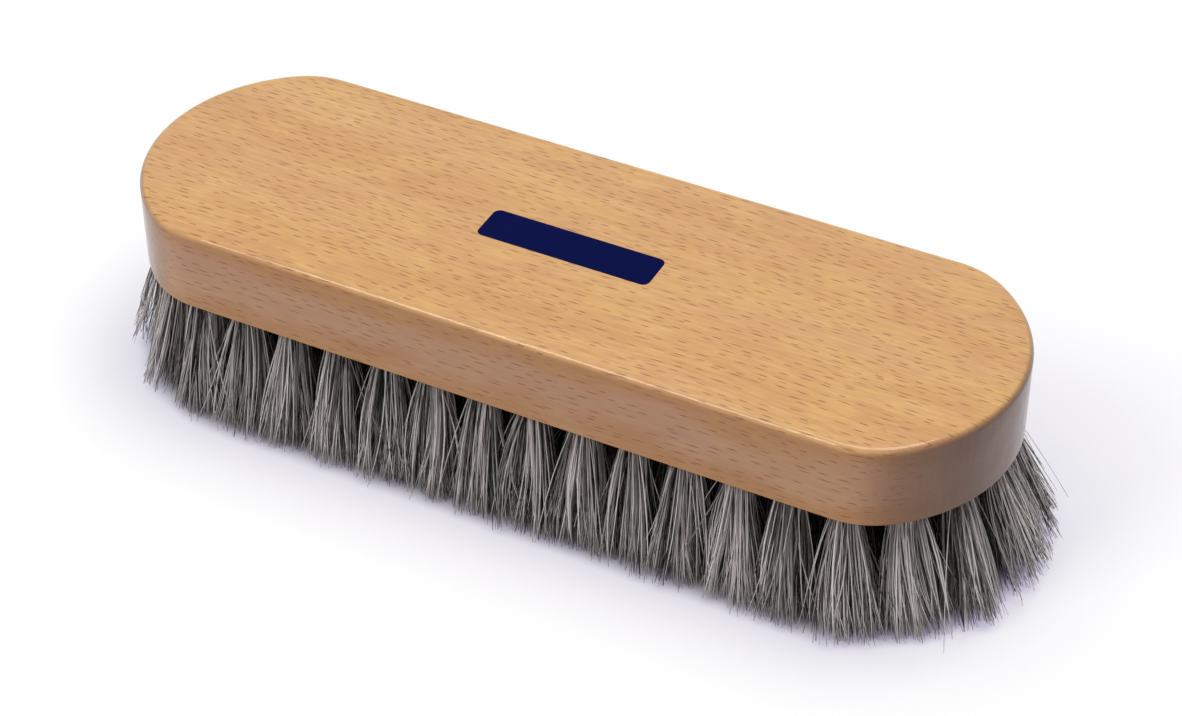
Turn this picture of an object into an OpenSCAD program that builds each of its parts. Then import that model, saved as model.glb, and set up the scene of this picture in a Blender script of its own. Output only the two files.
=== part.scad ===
// Shoe shine brush: a one-piece beech block, drilled from below and filled with
// horsehair tufts. Each tuft is folded under a flat wire anchor in its own blind hole.
// The brush stands on its bristle tips at z = 0, with its length along X.

/* [Block] */
// Length of the wooden block
block_len = 180; // [150:1:220]
// Width of the wooden block
block_w = 59; // [55:0.5:64]
// Thickness of the wooden block
block_t = 18; // [15:0.5:24]
// How much larger the radius of the arc across each end is than half the width
end_ease = 3; // [1.5:0.5:10]
// Radius of the arcs that join the ends to the straight sides
corner_r = 17.5; // [12:0.5:18.5]
// Rounding of the upper edge
top_round = 1.4; // [0.6:0.1:3]
// Chamfer of the lower edge
bottom_chamfer = 0.8; // [0.4:0.1:2]

/* [Label panel] */
// Length of the bare printed panel on the back
label_len = 36; // [20:0.5:50]
// Width of the panel
label_w = 8.6; // [5:0.2:14]
// Corner radius of the panel
label_r = 1.4; // [0.5:0.1:2.4]
// Thickness of the panel
label_t = 0.4; // [0.2:0.05:1]
// Height of the panel's face over the wood
label_proud = 0.05; // [0:0.05:0.15]
// Gap all round between the panel and its recess
label_gap = 0.05; // [0.02:0.01:0.2]

/* [Bristles] */
// Length of the bristles below the block
bristle_len = 26; // [18:0.5:34]
// Gap from the block's edge to the centres of the outer ring of tufts
edge_gap = 5.2; // [4.4:0.1:7]
// Distance between neighbouring rings of tufts
ring_gap = 9.5; // [9:0.1:9.6]
// Tufts in the outer ring
outer_count = 38; // [34:2:38]
// Tufts of the outer ring that stand round each end
outer_end_count = 7; // [5:2:9]
// Tufts in the middle ring
middle_count = 32; // [28:2:32]
// Tufts of the middle ring that stand round each end
middle_end_count = 5; // [3:2:7]
// Tufts in the inner ring
inner_count = 26; // [22:2:26]
// Tufts of the inner ring that stand at each end
inner_end_count = 1; // [1:2:3]
// Outward lean of the outer ring's tufts in degrees
outer_lean = 12; // [6:0.5:14]
// Outward lean of the middle ring's tufts in degrees
middle_lean = 6; // [4:0.5:7]
// Outward lean of the inner ring's tufts in degrees
inner_lean = 1.5; // [1:0.5:2]
// Distance from a tuft's axis to its strand tips
fan_r = 4.5; // [3:0.1:4.6]
// Part of a strand's root size that is left at the tip
tip_taper = 0.5; // [0.25:0.05:0.6]

/* [Holes and anchors] */
// Diameter of the blind holes
hole_d = 5; // [4.6:0.1:5.4]
// Depth of the blind holes
hole_depth = 9; // [7:0.5:11]
// Gap between a tuft's root and its hole
root_gap = 0.15; // [0.1:0.01:0.3]
// Length of a tuft's root that stands clear of its hole
root_proud = 0.6; // [0.5:0.1:1]
// Height of a wire anchor
anchor_h = 1.8; // [1.2:0.1:2.4]
// Thickness of a wire anchor
anchor_t = 0.5; // [0.4:0.05:0.7]
// Depth to which each end of a wire anchor bites in the wood beside its hole
anchor_bite = 0.7; // [0.4:0.1:1.2]
// Gap all round between an anchor and the slot that it bites
anchor_gap = 0.03; // [0.02:0.01:0.1]
// Gap over an anchor at the bottom of its hole
hole_end_gap = 0.2; // [0.1:0.05:0.5]

/* [Hidden] */

// Segments of a full circle
round_fn = 96;
// Sides of a hole: the holes are many and filled, so they are cut with few sides
hole_sides = 12;
// Reach past a face for a clean cut
over = 1;

block_bottom = bristle_len;
block_top = bristle_len + block_t;

// The outline is one end arc and two corner arcs at each end, all tangent, and straight sides
end_r = block_w / 2 + end_ease;
end_x = block_len / 2 - end_r;
corner_y = block_w / 2 - corner_r;
tangent_angle = asin(corner_y / (end_r - corner_r));
corner_x = end_x + (end_r - corner_r) * cos(tangent_angle);

// Every ring of tufts is a slot shape: two straights and two half circles
straight = block_len / 2 - block_w / 2;
outer_ring_r = block_w / 2 - edge_gap;
middle_ring_r = outer_ring_r - ring_gap;
inner_ring_r = middle_ring_r - ring_gap;

root_r = hole_d / 2 - root_gap;
root_depth = hole_depth - anchor_h - hole_end_gap;

anchor_len = hole_d + 2 * anchor_bite;

// Strands of one tuft, one under each side of its five-sided root
strands = 5;
// Corners of a strand, which is a tapered three-sided prism
corners = 3;
// Points of one tuft: two rings of the root, its centre, and the strand tips
tuft_points = 2 * strands + 1 + corners * strands;

front = 270;
back = 90;
left = 180;
right = 0;

// A ring is [radius of its ends, number of tufts, lean, number of tufts round each end]
outer_ring = [outer_ring_r, outer_count, outer_lean, outer_end_count];
middle_ring = [middle_ring_r, middle_count, middle_lean, middle_end_count];
inner_ring = [inner_ring_r, inner_count, inner_lean, inner_end_count];

// Where a ring is after distance s along it: [x, y, direction of the outward normal]
function ring_point(r, s) =
    let (quarter = PI / 2 * r, a = 180 / (PI * r))
    s < quarter ?
        [straight + r * cos(s * a), r * sin(s * a), s * a] :
    s < quarter + 2 * straight ?
        [straight - (s - quarter), r, back] :
    s < 3 * quarter + 2 * straight ?
        let (b = 90 + (s - quarter - 2 * straight) * a)
        [-straight + r * cos(b), r * sin(b), b] :
    s < 3 * quarter + 4 * straight ?
        [-straight + (s - 3 * quarter - 2 * straight), -r, front] :
        let (b = 270 + (s - 3 * quarter - 4 * straight) * a)
        [straight + r * cos(b), r * sin(b), b];

// The place of tuft i: a ring's tufts stand at equal distances along it, from the tip of its right end
function ring_place(ring, i) =
    let (length = 4 * straight + 2 * PI * ring[0])
    ring_point(ring[0], i * length / ring[1]);

function ring_places(ring) = [for (i = [0 : ring[1] - 1]) ring_place(ring, i)];

// The side of the brush that tuft i belongs to, counted from the tip of each end
function side_of(ring, i) =
    let (n = ring[1], reach = (ring[3] - 1) / 2)
    i <= reach || i >= n - reach ? right :
    i < n / 2 - reach ? back :
    i <= n / 2 + reach ? left : front;

function places_on(ring, side) =
    [for (i = [0 : ring[1] - 1]) if (side_of(ring, i) == side) ring_place(ring, i)];

// The horizontal direction at an angle from the ring's own direction, at a place on the ring
function towards(p, angle) = [cos(p[2] + angle - 90), sin(p[2] + angle - 90)];

// The angle of a corner of the root, and of the middle of the side after it
function corner_angle(j) = 90 + j * 360 / strands;
function side_angle(j) = corner_angle(j) + 180 / strands;

// A corner of the root, at a height
function root_corner(p, j, z) =
    let (at = [p[0], p[1]] + root_r * towards(p, corner_angle(j)))
    [at[0], at[1], z];

// Distance from the centre of a root sector to the tuft's axis
sector_r = 2 / 3 * root_r * cos(180 / strands);

// One corner (0 to 2) of strand j's flat tip on the plane that the brush stands on.
// The tip is the root's sector over it, drawn in, moved out by the fan and carried along by the lean.
function tip_corner(p, lean, j, corner) =
    let (
        slip = tan(lean) * (block_bottom - root_proud) * towards(p, 90),
        middle = fan_r * towards(p, side_angle(j)),
        arm = (corner == 0 ? 0 : root_r) * towards(p, corner_angle(j + corner - 1)),
        at = [p[0], p[1]] + slip + middle + tip_taper * (arm - sector_r * towards(p, side_angle(j)))
    )
    [at[0], at[1], 0];

function tuft_vertices(p, lean) = concat(
    [for (j = [0 : strands - 1]) root_corner(p, j, block_bottom + root_depth)],
    [for (j = [0 : strands - 1]) root_corner(p, j, block_bottom - root_proud)],
    [[p[0], p[1], block_bottom - root_proud]],
    [for (j = [0 : strands - 1], k = [0 : corners - 1]) tip_corner(p, lean, j, k)]
);

// Indices of strand j's root sector and of its tip
function root_sector(j) = [2 * strands, strands + j, strands + (j + 1) % strands];
function tip(j) = [for (k = [0 : corners - 1]) 2 * strands + 1 + corners * j + k];

// The sides of a prism between two triangles
function sides(a, b) = [for (k = [0 : corners - 1]) let (n = (k + 1) % corners) each
    [[a[k], b[k], b[n]], [a[k], b[n], a[n]]]];

tuft_faces = concat(
    [for (j = [1 : strands - 2]) [0, j, j + 1]],
    [for (j = [0 : strands - 1]) let (n = (j + 1) % strands) each
        [[j, strands + j, strands + n], [j, strands + n, n]]],
    [for (j = [0 : strands - 1]) each sides(root_sector(j), tip(j))],
    [for (j = [0 : strands - 1]) let (t = tip(j)) [t[0], t[2], t[1]]]
);

// Half the block's cross section, from the middle out to a reach: rounded above, chamfered below
module half_section(reach) {
    polygon([
        [0, 0], [reach - bottom_chamfer, 0], [reach, bottom_chamfer],
        [reach, block_t - top_round], [reach - top_round, block_t], [0, block_t]
    ]);
    translate([reach - top_round, block_t - top_round])
        circle(top_round, $fn = round_fn / 2);
}

// A turned disc: the block's rounded cross section, swept round a centre
module turned(reach) {
    rotate_extrude($fn = round_fn)
        intersection() {
            half_section(reach);
            square([reach, block_t]);
        }
}

// A round end: the part of its disc between the two points where the corner arcs take over
module round_end() {
    far = 2 * end_r;
    c = cos(tangent_angle) * far;
    s = sin(tangent_angle) * far;
    intersection() {
        turned(end_r);
        translate([0, 0, -over])
            linear_extrude(block_t + 2 * over)
                polygon([[0, 0], [c, -s], [far, -s], [far, s], [c, s]]);
    }
}

// The straight middle of the block, as wide as the whole
module straight_bar() {
    translate([-corner_x, 0, 0])
        rotate([90, 0, 90])
            linear_extrude(2 * corner_x) {
                half_section(block_w / 2);
                mirror([1, 0])
                    half_section(block_w / 2);
            }
}

module block_body() {
    translate([0, 0, block_bottom]) {
        straight_bar();
        for (m = [0, 1])
            mirror([m, 0, 0]) {
                translate([end_x, 0, 0])
                    round_end();
                for (side = [-1, 1])
                    translate([corner_x, side * corner_y, 0])
                        turned(corner_r);
            }
    }
}

// Puts its children at the mouth of a hole, with X outwards and Y along the ring
module at_hole(p) {
    translate([p[0], p[1], block_bottom])
        rotate([0, 0, p[2]])
            children();
}

module hole() {
    translate([0, 0, -over])
        cylinder(d = hole_d, h = hole_depth + over, $fn = hole_sides);
}

// A flat wire anchor, which lies on the root of its tuft, grown by a gap on every side for its slot
module anchor(gap) {
    translate([-anchor_t / 2 - gap, -anchor_len / 2 - gap, root_depth - gap])
        cube([anchor_t + 2 * gap, anchor_len + 2 * gap, anchor_h + 2 * gap]);
}

// A rectangle with round corners, centred
module panel_outline(gap) {
    l = label_len + 2 * gap;
    w = label_w + 2 * gap;
    r = label_r + gap;
    square([l - 2 * r, w], center = true);
    square([l, w - 2 * r], center = true);
    for (x = [-1, 1], y = [-1, 1])
        translate([x * (l / 2 - r), y * (w / 2 - r)])
            circle(r, $fn = round_fn / 2);
}

module wood_block() {
    color("burlywood")
        difference() {
            block_body();
            for (ring = [outer_ring, middle_ring, inner_ring], p = ring_places(ring))
                at_hole(p) {
                    hole();
                    anchor(anchor_gap);
                }
            translate([0, 0, block_top + label_proud - label_t])
                linear_extrude(label_t + over)
                    panel_outline(label_gap);
        }
}

module label_panel() {
    color("midnightblue")
        translate([0, 0, block_top + label_proud - label_t])
            linear_extrude(label_t)
                panel_outline(0);
}

// The tufts of one ring on one side of the brush, each a closed solid
module tufts(ring, side) {
    places = places_on(ring, side);
    color("dimgray")
        polyhedron(
            points = [for (p = places) each tuft_vertices(p, ring[2])],
            faces = [for (i = [0 : len(places) - 1], f = tuft_faces) [for (k = f) k + i * tuft_points]]
        );
}

module anchors(ring, side) {
    color("silver")
        for (p = places_on(ring, side))
            at_hole(p)
                anchor(0);
}

wood_block();
label_panel();
tufts(outer_ring, front);  // tufts_outer_front
tufts(outer_ring, back);  // tufts_outer_back
tufts(outer_ring, left);  // tufts_outer_left
tufts(outer_ring, right);  // tufts_outer_right
tufts(middle_ring, front);  // tufts_middle_front
tufts(middle_ring, back);  // tufts_middle_back
tufts(middle_ring, left);  // tufts_middle_left
tufts(middle_ring, right);  // tufts_middle_right
tufts(inner_ring, front);  // tufts_inner_front
tufts(inner_ring, back);  // tufts_inner_back
tufts(inner_ring, left);  // tufts_inner_left
tufts(inner_ring, right);  // tufts_inner_right
anchors(outer_ring, front);  // anchors_outer_front
anchors(outer_ring, back);  // anchors_outer_back
anchors(outer_ring, left);  // anchors_outer_left
anchors(outer_ring, right);  // anchors_outer_right
anchors(middle_ring, front);  // anchors_middle_front
anchors(middle_ring, back);  // anchors_middle_back
anchors(middle_ring, left);  // anchors_middle_left
anchors(middle_ring, right);  // anchors_middle_right
anchors(inner_ring, front);  // anchors_inner_front
anchors(inner_ring, back);  // anchors_inner_back
anchors(inner_ring, left);  // anchors_inner_left
anchors(inner_ring, right);  // anchors_inner_right
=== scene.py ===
# %% [markdown]
# # A shoe shine brush
# A shine brush is one block of beech, drilled from below with about a hundred blind holes.
# Each hole holds a tuft of grey horsehair, folded under a flat wire anchor. The CAD model
# already has the block, the holes, the anchors and a bare panel. This script loads it as a
# fixed frame and gives it the looks: smooth wood with its grain under lacquer, navy print,
# drawn wire and thousands of single hairs.

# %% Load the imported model
import math
import bmesh
import bpy
import numpy as np
from mathutils import Matrix, Vector
from mathutils.geometry import delaunay_2d_cdt


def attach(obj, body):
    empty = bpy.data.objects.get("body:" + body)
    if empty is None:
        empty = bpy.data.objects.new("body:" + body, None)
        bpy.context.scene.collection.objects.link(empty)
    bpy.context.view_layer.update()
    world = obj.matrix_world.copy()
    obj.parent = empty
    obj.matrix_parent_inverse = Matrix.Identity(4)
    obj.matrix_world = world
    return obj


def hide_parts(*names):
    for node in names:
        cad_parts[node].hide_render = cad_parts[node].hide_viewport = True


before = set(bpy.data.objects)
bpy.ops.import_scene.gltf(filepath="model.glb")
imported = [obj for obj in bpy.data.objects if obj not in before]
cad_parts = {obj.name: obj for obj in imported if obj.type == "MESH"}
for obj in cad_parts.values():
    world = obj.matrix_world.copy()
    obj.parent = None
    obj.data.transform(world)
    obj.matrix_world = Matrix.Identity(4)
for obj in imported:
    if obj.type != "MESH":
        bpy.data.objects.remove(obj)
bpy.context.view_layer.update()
MM = 0.001
print("CAD nodes:", len(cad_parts))

# %% [markdown]
# ## Helpers for materials
# Colours are easiest to pick as sRGB hex values, but shaders work in linear light, so one
# function turns the first into the second. Patterns are easiest to plan in millimetres, but
# a texture counts its features in each metre, so another turns sizes into scales. A third
# adds a shader node with its settings and links.

# %% Colours, scales and nodes
def linear(hex_colour):
    """sRGB hex to linear RGBA: c / 12.92 up to 0.04045, else ((c + 0.055) / 1.055) ** 2.4."""
    c = np.array([int(hex_colour[i:i + 2], 16) for i in (1, 3, 5)]) / 255
    low = c / 12.92
    high = ((c + 0.055) / 1.055) ** 2.4
    return (*np.where(c <= 0.04045, low, high), 1.0)


def per_metre(*sizes):
    """Repeats of a pattern per metre, in whole numbers, from its sizes in millimetres."""
    return [round(1 / (size * MM)) for size in sizes]


def add_node(material, kind, inputs=None, **settings):
    """Adds a node; inputs maps a socket to a value, or to the output that it is linked to."""
    node = material.node_tree.nodes.new(kind)
    for name, value in settings.items():
        setattr(node, name, value)
    for socket, value in (inputs or {}).items():
        if isinstance(value, bpy.types.NodeSocket):
            material.node_tree.links.new(value, node.inputs[socket])
        else:
            node.inputs[socket].default_value = value
    return node


def empty_material(name):
    """A material without nodes, ready for its own."""
    material = bpy.data.materials.new(name)
    material.use_nodes = True
    material.node_tree.nodes.clear()
    return material


# A Mix node names its sockets alike for numbers and for colours, so they go by their places.
SHARE, NUMBER_A, NUMBER_B, COLOUR_A, COLOUR_B, COLOUR = 0, 2, 3, 6, 7, 2
print("one honey tone in linear light:", [round(float(x), 3) for x in linear("#d6a066")])

# %% [markdown]
# ## A helper for meshes
# Surfaces are worked out with numpy as whole arrays of points. Putting such arrays into a
# mesh at once, as flat lists, is far quicker than a loop over the vertices.

# %% Arrays into a mesh
def mesh_object(name, points, faces, smooth):
    """A mesh of points in millimetres, and lists of equal faces, put in as flat arrays."""
    mesh = bpy.data.meshes.new(name)
    corners = np.concatenate([np.ravel(f) for f in faces]).astype(np.int32)
    sizes = np.concatenate([np.full(len(f), np.shape(f)[1]) for f in faces])
    starts = np.concatenate([[0], np.cumsum(sizes)[:-1]]).astype(np.int32)
    mesh.vertices.add(len(points))
    mesh.vertices.foreach_set("co", (np.asarray(points) * MM).astype(np.float32).ravel())
    mesh.loops.add(len(corners))
    mesh.loops.foreach_set("vertex_index", corners)
    mesh.polygons.add(len(sizes))
    mesh.polygons.foreach_set("loop_start", starts)
    mesh.polygons.foreach_set("use_smooth", np.full(len(sizes), smooth))
    mesh.update(calc_edges=True)
    piece = bpy.data.objects.new(name, mesh)
    bpy.context.scene.collection.objects.link(piece)
    return piece


def grid_quads(rows, columns):
    """Quads of a grid that is closed along its columns; a point's number is row * columns + column."""
    here = np.arange(rows - 1)[:, None] * columns
    above = here + columns
    column = np.arange(columns)[None]
    beside = (column + 1) % columns
    corners = np.broadcast_arrays(here + column, here + beside, above + beside, above + column)
    return np.stack(corners, -1).reshape(-1, 4)


print("a tube of 3 sides and 2 lengths:", len(grid_quads(3, 3)), "quads")

# %% [markdown]
# ## The camera
# The camera's place was found by fitting the outline of the block to the photograph. It
# stands to the front and right, and looks down at about 39 degrees. A long lens keeps the
# far and near edges almost parallel. The camera is set first, because it decides which
# details can be seen.

# %% Place the camera
PHOTO_WIDTH = 1182
FOCAL_PIXELS = 2950
SENSOR_WIDTH = 36.0
CAMERA_AT = Vector((204.949, -390.35, 377.819)) * MM
LOOKS_AT = Vector((4.418, -0.311, 18.979)) * MM
ROLL = math.radians(-0.167)

forward = (LOOKS_AT - CAMERA_AT).normalized()
sideways = forward.cross(Vector((0, 0, 1))).normalized()
upwards = sideways.cross(forward)
right_hand = sideways * math.cos(ROLL) + upwards * math.sin(ROLL)
up_hand = upwards * math.cos(ROLL) - sideways * math.sin(ROLL)

camera_data = bpy.data.cameras.new("camera")
camera_data.sensor_width = SENSOR_WIDTH
camera_data.lens = SENSOR_WIDTH * FOCAL_PIXELS / PHOTO_WIDTH
camera_data.clip_start = 10 * MM
camera = bpy.data.objects.new("camera", camera_data)
turn = Matrix((right_hand, up_hand, -forward)).transposed().to_4x4()
camera.matrix_world = Matrix.Translation(CAMERA_AT) @ turn
bpy.context.scene.collection.objects.link(camera)
bpy.context.scene.camera = camera
print("lens", round(camera_data.lens, 1), "mm, distance", round((CAMERA_AT - LOOKS_AT).length, 3))

# %% [markdown]
# ## The rings of holes
# The holes stand in three rings of a slot shape: two straights and two half circles. Such a
# ring is a curve of one parameter, the distance walked along it, so one function places all
# of its tufts. The sizes are those of the CAD model, in millimetres.

# %% The block's sizes
BLOCK_LEN, BLOCK_W = 180.0, 59.0
BOTTOM_Z, TOP_Z = 26.0, 44.0
END_R, CORNER_R = 32.5, 17.5
TOP_ROUND, LOWER_CHAMFER = 1.4, 0.8
# Half the length of a ring's straight sides, which is also where its end arcs have their centres.
STRAIGHT = BLOCK_LEN / 2 - BLOCK_W / 2
HOLE_R, HOLE_DEPTH = 2.5, 9.0
# Each ring: the radius of its ends, its tufts, those round each end, and their outward lean in degrees.
RINGS = {
    "outer": {"radius": 24.3, "tufts": 38, "round_end": 7, "lean": 12.0},
    "middle": {"radius": 14.8, "tufts": 32, "round_end": 5, "lean": 6.0},
    "inner": {"radius": 5.3, "tufts": 26, "round_end": 1, "lean": 1.5},
}
print("block", BLOCK_LEN, "x", BLOCK_W, "x", TOP_Z - BOTTOM_Z, "mm")

# %% Places of the tufts
def ring_place(radius, s):
    """Point and outward angle at distance s along a slot shape, from the tip of its right end.

    The five parts come in turn: half of the right arc, a straight, the whole left arc, a
    straight and the other half of the right arc. On an arc the angle grows by s / radius.
    """
    quarter = math.pi / 2 * radius
    s = np.mod(s, 4 * STRAIGHT + 4 * quarter)
    marks = np.cumsum([quarter, 2 * STRAIGHT, 2 * quarter, 2 * STRAIGHT])
    part = np.searchsorted(marks, s, side="right")
    first_arc = s / radius
    left_arc = math.pi / 2 + (s - marks[1]) / radius
    last_arc = 3 * math.pi / 2 + (s - marks[3]) / radius
    angle = np.choose(part, [first_arc, math.pi / 2, left_arc, 3 * math.pi / 2, last_arc])
    to_left = STRAIGHT - (s - marks[0])
    to_right = -STRAIGHT + (s - marks[2])
    centre = np.choose(part, [STRAIGHT, to_left, -STRAIGHT, to_right, STRAIGHT])
    return np.stack([centre + radius * np.cos(angle), radius * np.sin(angle), angle], axis=-1)


def tuft_places(ring, side=None):
    """Places of a ring's tufts, at equal distances; all of them, or those of one side."""
    radius, count = RINGS[ring]["radius"], RINGS[ring]["tufts"]
    number = np.arange(count)
    reach = (RINGS[ring]["round_end"] - 1) // 2
    step = (4 * STRAIGHT + 2 * math.pi * radius) / count
    sides = np.full(count, "front", dtype=object)
    sides[number <= count // 2 + reach] = "left"
    sides[number < count // 2 - reach] = "back"
    sides[(number <= reach) | (number >= count - reach)] = "right"
    places = ring_place(radius, number * step)
    return places if side is None else places[sides == side]


all_places = np.concatenate([tuft_places(ring) for ring in RINGS])
print("tufts:", len(all_places))

# %% [markdown]
# ## The beech block
# The real block is sawn from a beech board, drilled, rounded over with a cutter and
# lacquered. It could be a box with a Bevel modifier, but its ends are arcs, and the light
# that runs along the rounded upper edge needs an exact quarter circle. So the side is a
# grid: the outline in one direction, and the profile of lower chamfer, wall and rounding
# in the other. The outline has two straight sides, a wide arc across each end and two
# tighter arcs at its corners, all tangent.

# %% The block's outline
ARC_POINTS, SIDE_POINTS = 200, 300
OUTLINE_POINTS = 360


def outline(count):
    """Points and outward normals of the outline, at equal distances, counterclockwise.

    One quarter, from the right end's tip to the middle of the back, is walked densely along
    its three parts. It is mirrored three times, and resampled by its own length.
    """
    end_x = BLOCK_LEN / 2 - END_R
    corner_y = BLOCK_W / 2 - CORNER_R
    join = math.asin(corner_y / (END_R - CORNER_R))
    corner_x = end_x + (END_R - CORNER_R) * math.cos(join)
    wide = np.linspace(0, join, ARC_POINTS, endpoint=False)
    tight = np.linspace(join, math.pi / 2, ARC_POINTS, endpoint=False)
    side_x = np.linspace(corner_x, 0, SIDE_POINTS + 1)
    side_y = np.full_like(side_x, BLOCK_W / 2)
    x = np.concatenate([end_x + END_R * np.cos(wide), corner_x + CORNER_R * np.cos(tight), side_x])
    y = np.concatenate([END_R * np.sin(wide), corner_y + CORNER_R * np.sin(tight), side_y])
    angle = np.concatenate([wide, tight, np.full_like(side_x, math.pi / 2)])
    there = np.stack([x, y, angle], -1)
    back = there[::-1]
    quarters = [
        there[:-1],
        back[:-1] * [-1, 1, -1] + [0, 0, math.pi],
        there[:-1] * [-1, -1, 1] + [0, 0, math.pi],
        back[:-1] * [1, -1, -1] + [0, 0, 2 * math.pi],
    ]
    x, y, angle = np.concatenate([*quarters, there[:1] + [0, 0, 2 * math.pi]]).T
    walked = np.concatenate([[0], np.cumsum(np.hypot(np.diff(x), np.diff(y)))])
    s = np.linspace(0, walked[-1], count, endpoint=False)
    angle = np.interp(s, walked, angle)
    points = np.stack([np.interp(s, walked, x), np.interp(s, walked, y)], -1)
    return points, np.stack([np.cos(angle), np.sin(angle)], -1)


edge, normal = outline(OUTLINE_POINTS)
print("outline:", len(edge), "points, length", round(float(edge[:, 0].max() - edge[:, 0].min()), 1), "mm")

# %% Side of the block
ROUND_POINTS, WALL_ROWS = 11, 4


def band(profile):
    """Grid of points: outline point minus normal times the profile's inset, at its height."""
    inset, z = np.asarray(profile, float).T
    xy = edge[None] - normal[None] * inset[:, None, None]
    return np.concatenate([xy, np.broadcast_to(z[:, None, None], (*xy.shape[:2], 1))], -1)


quarter_turn = np.linspace(0, math.pi / 2, ROUND_POINTS)
round_inset = TOP_ROUND * (1 - np.cos(quarter_turn))
round_z = TOP_Z - TOP_ROUND * (1 - np.sin(quarter_turn))
wall_z = np.linspace(BOTTOM_Z + LOWER_CHAMFER, TOP_Z - TOP_ROUND, WALL_ROWS + 1)[:-1]
profile = np.concatenate([
    [[LOWER_CHAMFER, BOTTOM_Z]],
    np.stack([np.zeros(WALL_ROWS), wall_z], -1),
    np.stack([round_inset, round_z], -1),
])
side_points = band(profile)
print("side band:", side_points.shape[0], "rows of", side_points.shape[1])

# %% [markdown]
# ## The flat faces and their openings
# The underside has 96 round holes, and the upper face a shallow recess for the panel.
# Boolean modifiers could cut them, but 97 cuts in one mesh are slow, and one that fails
# leaves it open. Here the outline and the openings' loops are the fixed edges of a Delaunay
# triangulation, which fills the face between them, and the triangles in the openings are
# dropped. The walls and floors of the openings are added, and all is welded to one block.

# %% Loops of the openings
HOLE_SIDES = 20
RECESS_L, RECESS_W, RECESS_R, RECESS_Z = 36.1, 8.7, 1.45, 43.65
RECESS_CORNER_POINTS = 9


def circles(places, radius, sides, z):
    """One ring of points round each place: centre plus radius times cosine and sine."""
    a = np.arange(sides) * 2 * math.pi / sides
    xy = places[:, None, :2] + radius * np.stack([np.cos(a), np.sin(a)], -1)[None]
    return np.concatenate([xy, np.full((*xy.shape[:2], 1), z)], -1)


quarter_arc = np.linspace(0, math.pi / 2, RECESS_CORNER_POINTS)
corner_of = np.repeat([[1, 1], [-1, 1], [-1, -1], [1, -1]], RECESS_CORNER_POINTS, axis=0)
corner_angle = np.concatenate([quarter_arc + k * math.pi / 2 for k in range(4)])
recess = corner_of * [RECESS_L / 2 - RECESS_R, RECESS_W / 2 - RECESS_R]
recess = recess + RECESS_R * np.stack([np.cos(corner_angle), np.sin(corner_angle)], -1)
mouths = circles(all_places, HOLE_R, HOLE_SIDES, BOTTOM_Z)
print("holes:", len(mouths), "of", HOLE_SIDES, "sides, recess of", len(recess), "points")

# %% Flat faces
INSIDE_ONLY = 1
SAME_POINT = 1e-5


def flat_face(loops, inside, z):
    """Points, and triangles between the first loop and the others, which are openings.

    All loops are edges of one constrained Delaunay triangulation, and the triangles whose
    middle is in an opening are dropped. A closed loop has as many edges as points, so the
    edges made before tell the number of a loop's first point.
    """
    edges = []
    for loop in loops:
        around = [len(edges) + k for k in range(len(loop))]
        edges += zip(around, around[1:] + around[:1])
    xy = [Vector(p) for loop in loops for p in loop[:, :2]]
    found = delaunay_2d_cdt(xy, edges, [], INSIDE_ONLY, SAME_POINT)
    points = np.array([[p.x, p.y, z] for p in found[0]])
    triangles = np.array(found[2])
    middle = points[triangles][:, :, :2].mean(1)
    return points, triangles[~inside(middle)]


def in_hole(middle):
    """True where the distance to the nearest hole's centre is under the hole's radius."""
    away = np.linalg.norm(middle[:, None] - all_places[None, :, :2], axis=2)
    return np.min(away, axis=1) < HOLE_R


def in_recess(middle):
    """True in the panel's recess.

    Its corners may count as square: a triangle beside one reaches out to the block's edge,
    so its middle is far from the recess.
    """
    return (np.abs(middle[:, 0]) < RECESS_L / 2) & (np.abs(middle[:, 1]) < RECESS_W / 2)


under_points, under_faces = flat_face([side_points[0], *mouths], in_hole, BOTTOM_Z)
over_points, over_faces = flat_face([side_points[-1], recess], in_recess, TOP_Z)
print("underside triangles:", len(under_faces), "upper face triangles:", len(over_faces))

# %% All surfaces of the block
parts = []


def add_part(points, faces):
    """Appends points and faces, with the faces' numbers moved past the points before."""
    moved = np.asarray(faces) + sum(len(p) for p, _ in parts)
    parts.append((points.reshape(-1, 3), moved))


add_part(side_points, grid_quads(len(side_points), side_points.shape[1]))
add_part(under_points, under_faces)
add_part(over_points, over_faces)

hole_ends = circles(all_places, HOLE_R, HOLE_SIDES, BOTTOM_Z + HOLE_DEPTH)
wall_starts = np.arange(len(all_places)) * 2 * HOLE_SIDES
hole_walls = grid_quads(2, HOLE_SIDES)[None] + wall_starts[:, None, None]
add_part(np.stack([mouths, hole_ends], 1), hole_walls.reshape(-1, 4))
add_part(hole_ends, np.arange(len(all_places) * HOLE_SIDES).reshape(-1, HOLE_SIDES))

recess_rows = np.stack([np.column_stack([recess, np.full(len(recess), z)]) for z in (TOP_Z, RECESS_Z)])
add_part(recess_rows, grid_quads(2, len(recess)))
add_part(recess_rows[1], np.arange(len(recess))[None])
print("surfaces of the block:", len(parts))

# %% One closed block
WELD = 0.002 * MM
FLAT_FACE = 0.995
SHARP = math.radians(32)

block = mesh_object("beech_block", np.concatenate([p for p, _ in parts]), [f for _, f in parts], True)
work = bmesh.new()
work.from_mesh(block.data)
bmesh.ops.remove_doubles(work, verts=work.verts, dist=WELD)
bmesh.ops.recalc_face_normals(work, faces=work.faces)
for face in work.faces:
    face.smooth = abs(face.normal.z) < FLAT_FACE
open_edges = sum(1 for e in work.edges if len(e.link_faces) != 2)
volume = work.calc_volume() / MM ** 3
work.to_mesh(block.data)
work.free()
block.data.set_sharp_from_angle(angle=SHARP)
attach(block, "root")
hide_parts("wood_block")
print("block: open edges", open_edges, "volume", round(volume), "mm3")

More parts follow.
